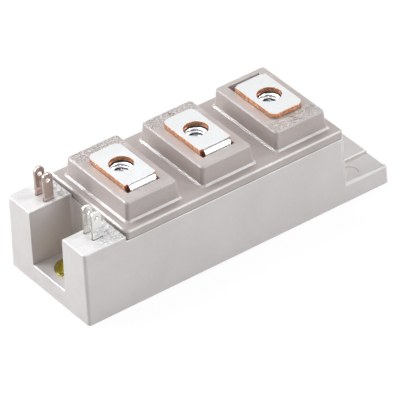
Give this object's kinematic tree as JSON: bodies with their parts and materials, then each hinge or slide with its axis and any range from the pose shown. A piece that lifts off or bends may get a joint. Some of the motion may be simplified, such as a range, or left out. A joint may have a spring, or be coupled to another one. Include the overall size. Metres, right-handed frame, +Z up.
{
  "type": "insulated gate bipolar transistor module",
  "caption": "Half-bridge power transistor module: long grey plastic case on a metal base plate, lid with a row of raised screw terminals, flat control tabs at the slotted end.",
  "frame": {"origin": "centre of the underside, on the mounting surface", "axes": "+X along the case away from the control tabs, +Y across the case, +Z up out of the base plate"},
  "size_m": [0.094, 0.034, 0.0294],
  "materials": {
    "case_plastic": "matt moulded",
    "lid_plastic": "matt moulded",
    "nickel_plated_copper": "satin nickel plate",
    "brass_bush": "satin, yellow passivated",
    "tinned_copper": "bright tin plate with bare copper cut edges",
    "zinc_plated_steel": "bright zinc plate",
    "tinned_brass": "bright tin plate",
    "alumina": "white ceramic",
    "bare_copper": "satin copper foil",
    "silicon": "polished dark grey",
    "bond_aluminium": "drawn wire",
    "silicone_seal": "cured sealant",
    "silicone_gel": "soft clear gel"
  },
  "bodies": {
    "root": {"base_plate": "nickel_plated_copper", "base_seal": "silicone_seal", "control_tab_4": "tinned_brass", "control_tab_5": "tinned_brass", "control_tab_6": "tinned_brass", "control_tab_7": "tinned_brass", "control_wires_high": "bond_aluminium", "control_wires_low": "bond_aluminium", "diode_chip_1_high": "silicon", "diode_chip_1_low": "silicon", "diode_chip_2_high": "silicon", "diode_chip_2_low": "silicon", "housing": "case_plastic", "lid": "lid_plastic", "link_wires": "bond_aluminium", "main_terminal_1": "tinned_copper", "main_terminal_2": "tinned_copper", "main_terminal_3": "tinned_copper", "mounting_bush_left": "brass_bush", "mounting_bush_right": "brass_bush", "power_wires_high": "bond_aluminium", "power_wires_low": "bond_aluminium", "silicone_gel": "silicone_gel", "switch_chip_1_high": "silicon", "switch_chip_1_low": "silicon", "switch_chip_2_high": "silicon", "switch_chip_2_low": "silicon", "terminal_nut_1": "zinc_plated_steel", "terminal_nut_2": "zinc_plated_steel", "terminal_nut_3": "zinc_plated_steel", "tile_back_copper_high": "bare_copper", "tile_back_copper_low": "bare_copper", "tile_ceramic_high": "alumina", "tile_ceramic_low": "alumina", "tile_tracks_high": "bare_copper", "tile_tracks_low": "bare_copper"}
  },
  "joints": []
}
